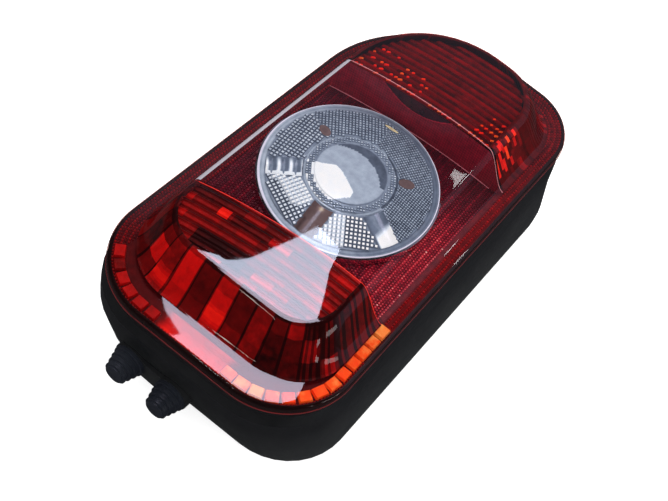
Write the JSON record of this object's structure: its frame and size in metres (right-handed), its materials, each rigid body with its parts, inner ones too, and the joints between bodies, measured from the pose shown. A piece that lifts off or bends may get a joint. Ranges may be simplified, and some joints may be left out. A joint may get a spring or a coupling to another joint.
{
  "type": "tail light cluster",
  "caption": "Oval rear lamp cluster lying lens up: domed red lens with a clear middle window over a round prismed lens, deep black housing, bulb carrier and rubber sleeved locating pegs.",
  "frame": {"origin": "centre of the four mounting bosses, on the plane of their faces", "axes": "+X to the right across the lamp seen from the lens with the pegs nearest, +Y from the peg end to the domed end, +Z out through the lens"},
  "size_m": [0.1199, 0.2263, 0.074],
  "materials": {
    "housing_black": "moulded, lightly grained",
    "lens_red": "clear red moulding, polished",
    "lens_clear": "clear moulding, polished",
    "panel_red": "dark red, fine prisms",
    "prism_clear": "clear moulding with fine pyramids",
    "bright_ring": "bright metallised edge",
    "reflector": "vapour metallised plastic",
    "bulb_glass": "clear bulb glass",
    "bulb_cap": "plain metal cap",
    "carrier_grey": "moulded, plain",
    "contact_brass": "stamped strip",
    "seal_black": "sealing cord",
    "seal_brown": "soft rubber",
    "gasket_foam": "closed cell foam",
    "insert_brass": "turned",
    "sleeve_rubber": "moulded rubber, satin",
    "cap_black": "plain"
  },
  "bodies": {
    "root": {"housing": "housing_black", "red_lens": "lens_red", "clear_window": "lens_clear", "inner_panel": "panel_red", "round_lens": "prism_clear", "lens_ring": "bright_ring", "upper_reflector": "reflector", "centre_reflector": "reflector", "lower_reflector": "reflector", "upper_bulb": "bulb_glass", "middle_bulb": "bulb_glass", "lower_bulb": "bulb_glass", "upper_bulb_cap": "bulb_cap", "middle_bulb_cap": "bulb_cap", "lower_bulb_cap": "bulb_cap", "bulb_carrier": "carrier_grey", "ground_strip": "contact_brass", "upper_feed_strip": "contact_brass", "middle_feed_strip": "contact_brass", "lower_feed_strip": "contact_brass", "lens_seal": "seal_black", "carrier_seal": "seal_brown", "rear_gasket": "gasket_foam", "threaded_inserts": "insert_brass", "left_peg_sleeve": "sleeve_rubber", "right_peg_sleeve": "sleeve_rubber", "vent_cap": "cap_black"}
  },
  "joints": []
}
